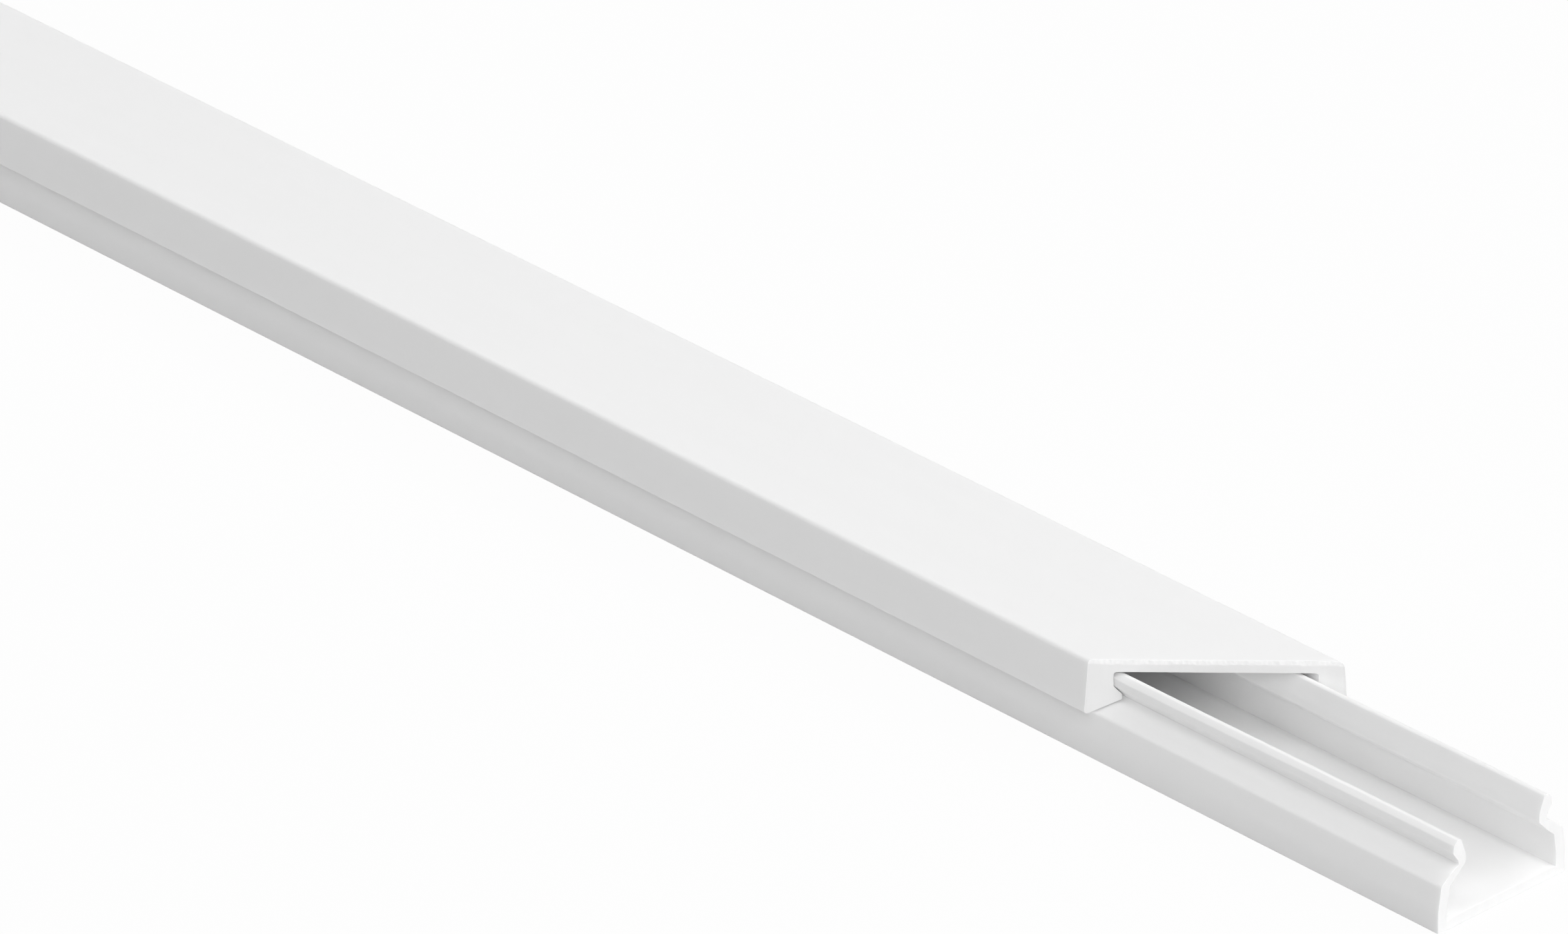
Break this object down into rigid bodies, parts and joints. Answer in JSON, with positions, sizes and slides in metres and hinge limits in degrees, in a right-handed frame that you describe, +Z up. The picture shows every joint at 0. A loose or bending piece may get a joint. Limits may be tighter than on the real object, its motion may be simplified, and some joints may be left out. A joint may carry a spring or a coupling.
{
  "type": "cord cover raceway",
  "caption": "White plastic mini trunking for hiding cords: an open wiring channel and a clip-over lid with a mitred end, slid back to show the channel.",
  "frame": {"origin": "middle of the channel's flat underside", "axes": "+X along the length towards the end with the exposed channel and the mitred lid, +Y towards the side where the mitre's point is, +Z up out of the wall face"},
  "size_m": [0.4, 0.0168, 0.0101],
  "materials": {
    "white_pvc": "satin white rigid PVC as extruded, with faint lines along the length and duller sawn ends"
  },
  "bodies": {
    "channel": {"base_channel": "white_pvc"},
    "lid": {"snap_lid": "white_pvc"}
  },
  "joints": [
    {"name": "lid_slide", "type": "slide", "parent": "channel", "child": "lid", "axis": [1, 0, 0], "range_m": [-0.375, 0.0273]}
  ]
}
